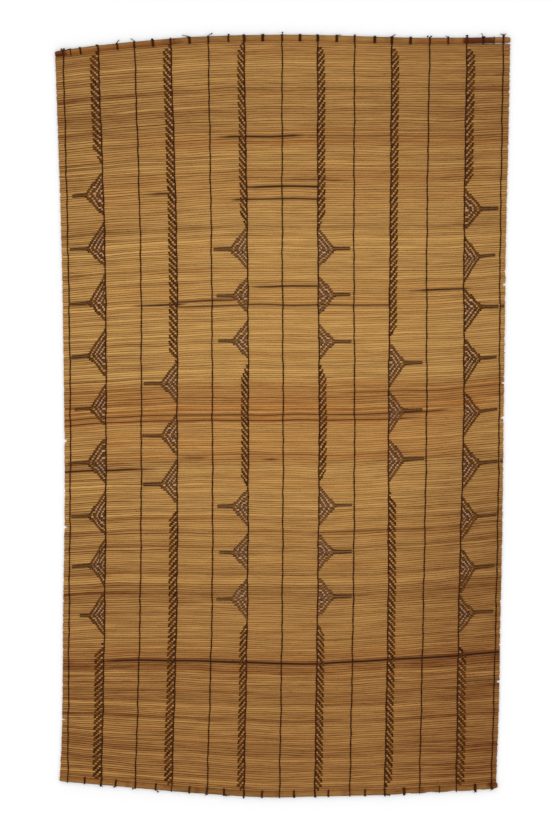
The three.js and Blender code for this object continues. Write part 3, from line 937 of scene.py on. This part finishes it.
# %% Tubes along a path
def tube(path, radius, own, sides=6, closed=False, look=0, crest_highlight=0.1):
    """A round thread along a path of points, as one part for joined()."""
    path = np.asarray(path, float)
    ahead = np.roll(path, -1, 0) - np.roll(path, 1, 0)
    if not closed:
        ahead[0], ahead[-1] = path[1] - path[0], path[-1] - path[-2]
    ahead /= np.linalg.norm(ahead, axis=1)[:, None]
    side = np.cross(ahead[0], [0.31, 0.17, 0.93])
    frames = []
    for way in ahead:
        side = side - way * (side @ way)
        side /= np.linalg.norm(side)
        frames.append((side.copy(), np.cross(way, side)))
    angle = 2 * math.pi * np.arange(sides) / sides
    radius = np.broadcast_to(np.asarray(radius, float), (len(path),))
    points = np.stack([p + r * (np.cos(angle)[:, None] * a + np.sin(angle)[:, None] * b)
                       for p, r, (a, b) in zip(path, radius, frames)])
    ring = np.arange(sides)
    count = len(path)
    faces = skin(count, sides)
    if closed:
        twist = np.arctan2(frames[0][0] @ frames[-1][1], frames[0][0] @ frames[-1][0])
        turn = int(round(twist / (2 * math.pi) * sides))
        last = (count - 1) * sides + (ring + turn) % sides
        faces = np.concatenate([faces, np.stack([last, np.roll(last, -1), np.roll(ring, -1), ring], 1)])
    else:
        caps = [[0, j, j + 1, j + 2] for j in range(1, sides - 1, 2)]
        ends = [[(count - 1) * sides + k for k in reversed(cap)] for cap in caps]
        faces = np.concatenate([faces, np.array(caps)[:, ::-1], np.array(ends)[:, ::-1]])
    run = np.r_[0, np.cumsum(np.linalg.norm(np.diff(path, axis=0), axis=1))]
    thread = np.empty((count, sides, 3))
    thread[..., 0], thread[..., 1] = run[:, None], (angle / (2 * math.pi))[None]
    thread[..., 2] = own
    # The whole thread carries a faint, even painted highlight.
    return points.reshape(-1, 3), faces, thread.reshape(-1, 3), np.full(count * sides, crest_highlight), look


# %% [markdown]
# ## A split cane
# A cane is one section carried along a curve. It swells at its joints, and small waves keep it from looking
# extruded. Its outer edge is darkened with painted shade and, in one place, worn into small scallops. Stretches
# of it are darker or redder, as one end of the top cane is.

# %% The section of a cane
CANE_RISE, CANE_BASE = 7, 1.5
SQUARENESS = 0.7
CANE_TRIM = 0.55  # the cane is trimmed by this all round, so that its ties sink in a little
SECTION_STEPS, FLAT_HALF = 13, 4
cane_floor = CANE_BASE + CANE_TRIM


def cane_section(grow, steps):
    """The cane's section, grown all round, as (across, up) from one side over the top to the other."""
    angle = np.linspace(0, math.pi, steps)
    along = np.cos(angle)
    across = np.sign(along) * np.abs(along) ** SQUARENESS * (CANE_WIDTH / 2 + grow)
    up = CANE_BASE - grow + (CANE_RISE + 2 * grow) * np.sin(angle).clip(0) ** SQUARENESS
    return np.stack([across, up], 1)


def turn_of(cane, x):
    """The cane's turn at x, seen from above."""
    return np.arctan2(cane(x + 1) - cane(x - 1), 2)


print("cane: %.1f mm high" % (CANE_RISE - 2 * CANE_TRIM))


# %% Canes
CANE_STATIONS, CANE_STREAK, CANE_STREAK_WIDTH = 181, 36, 1.5
JOINT_SWELL, JOINT_LENGTH, SWELL_SHARE, CUT_SIZE = 0.5, 4, 0.07, 0.8
JOINT_TONE, EDGE_SHADE, WORN_FADE, STRETCH_FADE = 0.3, 0.16, 40, 8


def cane_values(x, out, swell, base, rust, stretches):
    """Tone, rust and painted shade over a cane, one row for each x. A stretch is (from, to, darker, redder)."""
    inner = np.interp(out, [-0.3, 0.3], [1, 0.2])[None]
    tone_here = base + 0.08 * np.sin(x / 83 + 0.6)[:, None]
    # Joints are darker, and towards the outer edge the tone is lowered as painted shade.
    tone_here = tone_here - JOINT_TONE * swell[:, None] - EDGE_SHADE * out.clip(0) ** 3
    rust_here = rust * inner * (0.8 + 0.2 * np.sin(x / 61 + 2))[:, None]
    for low, high, darker, redder in stretches:
        share = within(x, low, high, STRETCH_FADE)[:, None]
        tone_here = tone_here - darker * share * (0.5 + 0.5 * inner)
        rust_here = rust_here + redder * share * inner
    # Painted shade: the outer rim of the cane is darkened further.
    stain = np.interp(out, [0.66, 0.8, 0.9], [0, 0.55, 0.85])[None]
    return {"tone": tone_here, "rust": np.clip(rust_here, 0, 1), "stain": stain}


def cane_piece(name, cane, outward, ends, joints, base, rust, stretches, wear_and_highlight=(0, 0, 0, 1)):
    """A split cane along its curve, thicker at its joints. Outward is 1 for the top cane and -1 for the other.
    Along a stretch of wear, given as (from, to, depth, length), its outer side is scalloped."""
    x = np.linspace(*ends, CANE_STATIONS)
    swell = sum(JOINT_SWELL * np.exp(-((x - joint) / JOINT_LENGTH) ** 2) for joint in joints)
    wave = 0.25 * np.sin(x / 47) + 0.2 * np.sin(x / 19 + 1)
    size = 1 + (swell + wave)[:, None] * SWELL_SHARE
    size[[0, -1]] *= CUT_SIZE
    section = [cane_section(-CANE_TRIM, SECTION_STEPS), [[-FLAT_HALF, cane_floor], [FLAT_HALF, cane_floor]]]
    section = np.concatenate(section)
    out = outward * section[:, 0] / (CANE_WIDTH / 2)
    scallop = wear_and_highlight[2] * within(x, wear_and_highlight[0], wear_and_highlight[1], WORN_FADE) * np.sin(x / wear_and_highlight[3]).clip(0)
    across = section[:, 0] * (size - scallop[:, None] * out.clip(0))
    up = cane_floor + (section[:, 1] - cane_floor) * size
    turn = turn_of(cane, x)[:, None]
    points = np.stack([x[:, None] - across * np.sin(turn), cane(x)[:, None] + across * np.cos(turn), up], 2)
    count = len(section)
    cap = np.arange(count)
    faces = skin(len(x), count).tolist() + [cap[::-1].tolist(), ((len(x) - 1) * count + cap).tolist()]

    def flat(value):
        return np.broadcast_to(value, (len(x), count)).ravel()

    values = {key: flat(value) for key, value in cane_values(x, out, swell, base, rust, stretches).items()}
    across_grain = section[:, 0][None] * CANE_STREAK_WIDTH
    values["grain"] = np.stack([flat(x[:, None] / CANE_STREAK), flat(across_grain), flat(0.0)], 1)
    piece = new_piece(name, points.reshape(-1, 3), faces, values, [cane_finish])
    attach(piece, "root")
    return piece


top_piece = cane_piece(
    "split_cane_top", top_cane, 1, (-545, 546), joints=[-402, -260, -88, 96, 251, 408], base=0.43, rust=0.3,
    stretches=[[-560, -522, 0.4, 0.7], [-545, -245, 0.12, 0.45], [325, 433, 0, 0.3], [438, 500, 0.7, 0.5],
               [503, 560, 0.1, 0.4]])
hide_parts("top_cane")
bottom_piece = cane_piece(
    "split_cane_bottom", bottom_cane, -1, (-534, 515), joints=[-371, -205, -12, 148, 334],
    base=0.34, rust=0.45, stretches=[[495, 520, 0.3, 0.5], [-560, -440, 0.05, 0.2]], wear_and_highlight=(290, 500, 0.3, 9))
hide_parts("bottom_cane")

# %% [markdown]
# ## A tie round a cane
# A tie is a few turns of cord round the cane, often with a small knot and a short tail. A curve with
# a round bevel could be bent into each, but here the turns follow the cane's own section a little
# larger, so they fit it wherever they stand. A knot is a small closed loop that passes over itself,
# and a tail is a thread that grows thinner.

# %% A tie round a cane
TURN_RADIUS, TURN_STEP, TAIL_TIP = 1.15, 2.1, 0.75
KNOT_LIFT = 7.6


def placed(points, cane, x):
    """Points given as (along the cane, across it, up), put at x on the cane."""
    turn = float(turn_of(cane, x))
    along, across, up = np.asarray(points, float).T
    return np.stack([x + along * math.cos(turn) - across * math.sin(turn),
                     float(cane(x)) + along * math.sin(turn) + across * math.cos(turn), up], 1)


def knot_path(size):
    """A small overhand knot, as a closed path about its own middle."""
    angle = np.linspace(0, 2 * math.pi, 20, endpoint=False)
    return size * np.stack([np.sin(angle) + 2 * np.sin(2 * angle), np.cos(angle) - 2 * np.cos(2 * angle),
                            -np.sin(3 * angle)], 1)


def lashing(cane, x, inward, turns=2, knots=(), tails=()):
    """Turns of cord round a cane at x. A knot is (along, out, size), a tail (along, out) where its end lies."""
    parts = []
    own = chance.uniform(0, 0.7)
    around = cane_section(TURN_RADIUS - 0.3, 13)
    around = np.concatenate([around, [[-3.5, 0], [3.5, 0]]])
    around[:, 1] = around[:, 1].clip(TURN_RADIUS + 0.05)
    slant = np.cos(np.linspace(0, 2 * math.pi, len(around), endpoint=False)) * chance.uniform(-0.7, 0.7)
    edge = CANE_WIDTH / 2 + 0.2
    for turn in range(turns):
        shift = (turn - (turns - 1) / 2) * TURN_STEP
        loop = np.stack([shift + slant, around[:, 0], around[:, 1]], 1)
        parts.append(tube(placed(loop, cane, x), TURN_RADIUS, own, closed=True))
    for along, out, size in knots:
        path = knot_path(size) + [along, -inward * (edge + out), KNOT_LIFT - 0.35 * out]
        parts.append(tube(placed(path, cane, x), 0.85 + 0.3 * size, own, closed=True))
    for along, out in tails:
        t = np.linspace(0, 1, 6)
        bend = 1.6 * np.sin(math.pi * t)
        path = np.stack([along * t, -inward * (edge - 1.5 + (out + 1.5) * t ** 0.8) + bend * 0.3,
                         KNOT_LIFT + bend - (KNOT_LIFT - 1.2) * t ** 2 * min(1, abs(out) / 6)], 1)
        parts.append(tube(placed(path, cane, x), np.linspace(TURN_RADIUS, TAIL_TIP, len(t)), own))
    return parts


def finish_thread(name, parts, node_name, materials):
    """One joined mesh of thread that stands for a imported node."""
    points, faces, thread, crest_highlight, looks = joined(parts)
    piece = new_piece(name, points, faces, {"thread": thread, "crest_highlight": crest_highlight}, materials, looks)
    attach(piece, "root")
    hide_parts(node_name)
    return piece


# %% [markdown]
# ## Short ties between the cords
# Between the cords the canes are tied on again. None of these ties is spaced evenly and hardly two
# are alike, so they are listed one by one: where each stands, how often it goes round, and its knots
# and tails.

# %% Short ties between the cords
TOP_TIES = [  # (place on the cane, turns, knots, tails)
    (-507.5, 1, [], [(-9, -2)]), (-484.5, 2, [], []), (-396, 2, [], [(6, 7)]),
    (-311, 3, [(-1, 0.5, 0.6)], []), (-223, 3, [(-3, 0, 0.45)], [(-17, 5), (-8, 1)]),
    (-129.5, 2, [(0.5, 0.8, 0.6)], []), (-47, 3, [], [(-5, 0.5)]), (42, 3, [], []),
    (130, 3, [], [(11, 0)]), (221, 3, [], []), (307, 3, [(0, -0.5, 0.5)], []),
    (397, 2, [(1, 0, 0.45)], [(-6, 2.5)]), (481, 2, [(-2, -0.5, 0.5), (3, -0.5, 0.5)], [(-4, 9)]),
    (507, 1, [], []),
]
BOTTOM_TIES = [
    (-474, 2, [], []), (-399.5, 2, [(-3, 1, 0.45)], []), (-303.5, 2, [(6, 3, 0.5)], [(6, 3)]),
    (-223, 2, [], [(-1, 1)]), (-140.5, 2, [], [(8, 1), (14, -1)]), (-49, 2, [], []),
    (27.5, 2, [], [(7, -6)]), (110, 2, [], []), (198, 2, [], []), (291.5, 3, [(-1, 0.5, 0.5)], []),
    (376, 1, [], []), (461.5, 3, [(0, 0.5, 0.5)], [(-2, 5), (3, 4)]),
]
for row, cane, inward, name in ((TOP_TIES, top_cane, -1, "top"), (BOTTOM_TIES, bottom_cane, 1, "bottom")):
    for i, (x, turns, knots, tails) in enumerate(row):
        finish_thread(f"tie_{name}_{i + 1}", lashing(cane, x, inward, turns, knots, tails),
                      f"{name}_tie_{i + 1}", [cord_finish])

# %% [markdown]
# ## The sewing cords
# Seven plain cords hold the stems. Seen close, each is a chain of short dark stitches, one over each
# stem, all leaning the same way. At both ends the cord is lashed round the cane.

# %% Plain cords
CORD_WIDTH, CORD_THICKNESS, CORD_LEAN = 3.7, 1.15, 0.9


def chain(line, width=CORD_WIDTH, look=0):
    """The stitches of one cord over every stem, and the ones that pass below."""
    points = crossings(line)
    widths = width * chance.uniform(0.82, 1.12, stem_count)
    # Each stitch carries a faint painted highlight along its crest.
    top = stitches(points[1:], points[:-1], widths, CORD_THICKNESS, CORD_LEAN, OVER, 0.12, look)
    bottom = stitches(points[1:], points[:-1], widths * 0.85, UNDER_THICKNESS, -CORD_LEAN, UNDER, 0.1, look)
    return [top, bottom]


TOP_ENDS = [  # (turns, knots, tails) for the thirteen cords from left to right
    (2, [(-3, 1, 0.6), (3, 1, 0.6)], [(14, -3)]), (2, [(-3, -0.5, 0.45)], []), (2, [], [(-8, 8)]),
    (2, [], []), (2, [(9, 5, 0.4)], [(9, 5)]), (3, [], []), (2, [(1, 4, 0.5)], []), (3, [], []),
    (2, [(0, 0.5, 0.55)], []), (3, [(-2, -1, 0.5), (2, -1, 0.5)], [(8, 6)]),
    (2, [(-5, 2, 0.5), (3, 2, 0.5)], []), (2, [(0, 2.5, 0.85)], []),
    (2, [(0, 4, 0.6)], [(-6, 8), (7, 8)]),
]
BOTTOM_ENDS = [
    (1, [], []), (2, [(-1, 1, 0.5)], [(4, 4)]), (2, [(-5, 1, 0.5)], []), (1, [], []),
    (2, [(-2, 1, 0.4)], []), (2, [(0, 1.5, 0.55)], []), (1, [], []), (2, [(2, 0, 0.4)], []),
    (1, [], []), (2, [(0, 0, 0.5), (11, 0, 0.35)], [(11, 0)]), (1, [], []), (1, [], []),
    (2, [(3, -2, 0.5)], [(-3, 3)]),
]


def cord_ends(line, number):
    """The lashings of a cord round both canes. The cords are numbered from the left."""
    where = [float(line(cane(line(0)))) for cane in (top_cane, bottom_cane)]
    at_top = lashing(top_cane, where[0], -1, *TOP_ENDS[number])
    return at_top + lashing(bottom_cane, where[1], 1, *BOTTOM_ENDS[number])


for i, line in enumerate(plain_lines):
    parts = chain(line) + cord_ends(line, 2 * i)
    finish_thread(f"cord_{i + 1}", parts, f"sewing_cord_{i + 1}", [cord_finish])

# %% [markdown]
# ## The patterned bands
# On six cords dark strands run beside the cord, over two stems and under one. Where each strand is
# one stem behind its neighbour the floats climb in a diagonal: that is twill. In a triangle the count
# starts from its two slanting sides instead, so the diagonals meet on the middle line as nested
# chevrons, and the tip runs out in a bar of close wraps. So a band needs no drawing: each float
# follows from counting in threes.

# %% Floats
COUNT = 3
FLOAT_WIDTH, FLOAT_THICKNESS, FLOAT_LEAN = 1.26, 1.25, 2.2


def pick_runs(chosen):
    """The first and last place of every run of True."""
    steps = np.diff(np.r_[0, np.asarray(chosen, int), 0])
    return np.flatnonzero(steps == 1), np.flatnonzero(steps == -1) - 1


def floats(points, chosen, width, lean, sheen, look=1):
    """Stitches over each run of chosen stems, and simple ones under the stems between two runs."""
    first, last = pick_runs(chosen)
    if not len(first):
        return []
    lean = np.broadcast_to(lean, chosen.shape)[first]
    parts = [stitches(points[last + 1], points[first], width, FLOAT_THICKNESS, lean, FLOAT, sheen, look)]
    if len(first) > 1:
        starts, ends = points[first[1:]], points[last[:-1] + 1]
        parts.append(stitches(starts, ends, width * 0.9, UNDER_THICKNESS, 0.0, UNDER, 0.2, look))
    return parts


# %% [markdown]
# ## Twill
# In a strip of twill each strand passes under every third stem, one stem further on than the strand
# before it. At the mat's foot the count runs the other way, and so does the lean. A strip's ends are
# cut at a slant, because each strand stops a stem or two before the last one.

# %% Twill
TWILL_STRANDS, TWILL_MARGIN = 4, 3.2
TAPER, END_TAPER = 1.6, 0.9  # stems that each strand is shorter than the one before it
MAT_END = 850
# How strong the painted highlight on a strip's crests is, weaker at the mat's foot.
SHEEN_TWILL, SHEEN_AT_FOOT = 0.06, 0.02


def twill(line, side, reach, top, bottom):
    """A strip of twill between two heights. A strip that ends at the mat's foot leans the other way."""
    parts = []
    pitch = (reach - TWILL_MARGIN) / TWILL_STRANDS
    heights = crossings(line)[:, 1]
    first, last = np.searchsorted(-heights, [-top, -bottom])
    at_foot = bottom < -MAT_END
    way = -1 if at_foot else 1
    tapers = [END_TAPER if abs(end) > MAT_END else TAPER for end in (top, bottom)]
    sheen = SHEEN_AT_FOOT if at_foot else SHEEN_TWILL
    for strand in range(1, TWILL_STRANDS + 1):
        chosen = (stem_index + way * strand) % COUNT != 0
        behind = strand - 1
        chosen &= (stem_index >= first + tapers[0] * behind) & (stem_index <= last - tapers[1] * behind)
        lean = side * way * FLOAT_LEAN
        parts += floats(crossings(line, side * strand * pitch), chosen, pitch * FLOAT_WIDTH, lean, sheen)
    return parts


# %% [markdown]
# ## Triangles and bars
# In a triangle each strand is shorter than the one before it, and is counted from its own two ends.
# The bar is a row of close wraps over the two stems at the triangle's axis, and they grow a little
# shorter outwards.

# %% Triangles and bars
WRAP_STEP, WRAP_THICKNESS, WRAP_LEAN = 2.2, 1.3, 0.2
CLEAR = CORD_WIDTH / 2 + 1


def motif(line, side, height, tip, bar, up, down, neighbour, sheen):
    """A triangle of nested chevrons, and the bar that runs out from its tip, clear of the neighbour cord."""
    parts = []
    heights = crossings(line)[:, 1]
    axis = int(np.argmin(np.abs(heights - height)))
    pitch_here = (heights[axis - 4] - heights[axis + 4]) / 8
    strands = int(round((up + down) / 2 / pitch_here)) + 1
    step = tip / (strands - 0.5)
    above = stem_index < axis
    away = np.where(above, axis - 1 - stem_index, stem_index - axis)
    for strand in range(1, strands + 1):
        share = (strands + 1 - strand) / strands
        stems_here = np.round(np.where(above, up, down) / pitch_here * share)
        from_edge = np.maximum(stems_here, 1) - 1 - away
        chosen = (from_edge >= 0) & (from_edge % COUNT != COUNT - 1)
        lean = side * FLOAT_LEAN * np.where(above, -1, 1)
        parts += floats(crossings(line, side * strand * step), chosen, step * FLOAT_WIDTH, lean, sheen)
    offsets = np.arange(tip - step / 2, bar, WRAP_STEP)
    offsets = offsets[np.abs(offsets - neighbour) > CLEAR]
    top, bottom = [], []
    for offset in offsets:
        x = line(height) + side * offset
        rows = [float(between_stems(np.array(axis + k), x)) for k in (-1, 1)]
        shrink = (0.05 + 0.06 * (offset - tip) / (bar - tip)) * (rows[0] - rows[1])
        top.append([x, rows[0] - shrink])
        bottom.append([x, rows[1] + shrink])
    # The wraps of a bar carry a stronger painted highlight on their crests.
    crest_highlight = 0.25 + 0.6 * sheen
    parts.append(stitches(bottom, top, WRAP_STEP * 1.1, WRAP_THICKNESS, WRAP_LEAN, WRAP, crest_highlight, 1))
    parts.append(stitches(bottom, top, WRAP_STEP * 0.9, UNDER_THICKNESS, WRAP_LEAN, UNDER, 0.3, 1))
    return parts


# %% [markdown]
# ## Each band with its cord
# A band is one mesh: its cord's chain and lashings, its strips and its triangles. The painted highlight on the
# strands' crests is stronger in the middle of the mat than at its sides. A long bar passes the next cord and
# leaves it clear.

# %% Patterned cords
# The painted highlight on the strands is strongest in the middle of the mat and weaker towards its sides.
SHEEN_MIDDLE, SHEEN_LOSS = 0.6, 0.42
for i, (line, band) in enumerate(zip(patterned_lines, BANDS)):
    side = band["side"]
    sheen = SHEEN_MIDDLE - SHEEN_LOSS * abs(line(0)) / 430
    parts = chain(line, CORD_WIDTH * 1.08) + cord_ends(line, 2 * i + 1)
    for top, bottom in band["strips"]:
        parts += twill(line, side, band["twill"], top, bottom)
    for height, tip, bar, up, down in band["motifs"]:
        gaps = [side * (other(height) - line(height)) for other in plain_lines]
        parts += motif(line, side, height, tip, bar, up, down, min(gap for gap in gaps if gap > 0), sheen)
    finish_thread(f"band_{i + 1}", parts, f"patterned_cord_{i + 1}", [cord_finish, strand_finish])

# %% [markdown]
# ## Floor and sky
# The mat is shown on a plain white floor under a plain white sky. The floor is only a stage: it is no
# part of the mat, and lies a hair below it.

# %% Floor and sky
bpy.ops.mesh.primitive_plane_add(size=60, location=(0, 0, -0.0002))
floor = bpy.context.active_object
floor.name = "floor"
floor_finish, _, floor_shader = new_material("plain floor", 0.9)
floor_shader.inputs["Base Color"].default_value = (0.99, 0.99, 0.99, 1)
floor.data.materials.append(floor_finish)
floor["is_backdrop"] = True

world = bpy.data.worlds.new("studio")
bpy.context.scene.world = world
world.use_nodes = True
world.node_tree.nodes["Background"].inputs["Color"].default_value = (1, 1, 1, 1)
world.node_tree.nodes["Background"].inputs["Strength"].default_value = 1.02


# %% [markdown]
# ## Light
# Even light from all round would hide the relief of the stems. So one large lamp stands beyond the
# head of the mat and leaves soft shade between the stems, and a weaker one fills that shade from the
# other side.

# %% Lamps
def soft_light(name, place, target, size, power):
    """A large square lamp that points at a target and isn't itself seen."""
    lamp = bpy.data.objects.new(name, bpy.data.lights.new(name, "AREA"))
    lamp.data.size, lamp.data.energy = size, power
    lamp.location = place
    way = np.array(target, float) - np.array(place, float)
    lamp.rotation_euler = (math.acos(-way[2] / np.linalg.norm(way)), 0, math.atan2(way[0], -way[1]))
    lamp.visible_camera = False
    bpy.context.scene.collection.objects.link(lamp)


soft_light("key", (-1.6, 3.2, 3.0), (0, 0, 0), 2.4, 260)
soft_light("fill", (2.6, -2.4, 3.0), (0, 0, 0), 2.4, 90)

# %% [markdown]
# ## Where the picture is taken from
# The camera looks straight down at the middle of the mat, from far away and through a long lens, so
# that the mat's sides look as straight as they are. A plain view transform keeps the floor white.

# %% Camera
CAMERA_HEIGHT = 5.57
camera = bpy.data.objects.new("camera", bpy.data.cameras.new("camera"))
camera.data.lens = 100
camera.data.sensor_width = 36
camera.location = (-0.0084, -0.0048, CAMERA_HEIGHT)
camera.data.clip_end = 100
bpy.context.scene.collection.objects.link(camera)
bpy.context.scene.camera = camera
bpy.context.scene.view_settings.view_transform = "Standard"

# %% [markdown]
# ## The size of the dressed mat
# The box round the dressed mat is measured and printed. The fine pieces have to stay within the
# imported model but for a few thread ends.

# %% Measure the dressed mat
low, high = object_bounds()
print("dressed box:", [round(v, 4) for v in (*low, *high)])
